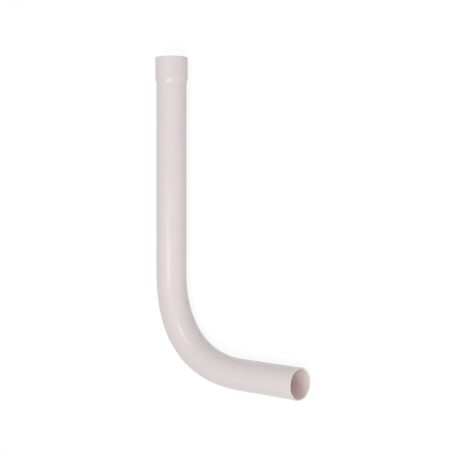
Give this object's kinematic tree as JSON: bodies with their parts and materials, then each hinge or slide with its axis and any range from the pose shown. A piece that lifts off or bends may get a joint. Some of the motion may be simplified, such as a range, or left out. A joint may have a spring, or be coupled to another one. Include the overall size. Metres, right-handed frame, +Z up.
{
  "type": "flush pipe",
  "caption": "White plastic flush pipe: a long straight run with a belled socket, a swept quarter bend and a shorter plain spigot leg, carrying water from a cistern to a toilet pan.",
  "frame": {"origin": "centre of the socket's mouth, at the end of the long run", "axes": "+Y out of the socket's mouth along the long run, +X the way the shorter leg points, +Z up and square to the plane of the bend; the pipe lies on its side"},
  "size_m": [0.2395, 0.426, 0.043],
  "materials": {
    "pvc": "satin"
  },
  "bodies": {
    "root": {"flush_pipe": "pvc"}
  },
  "joints": []
}
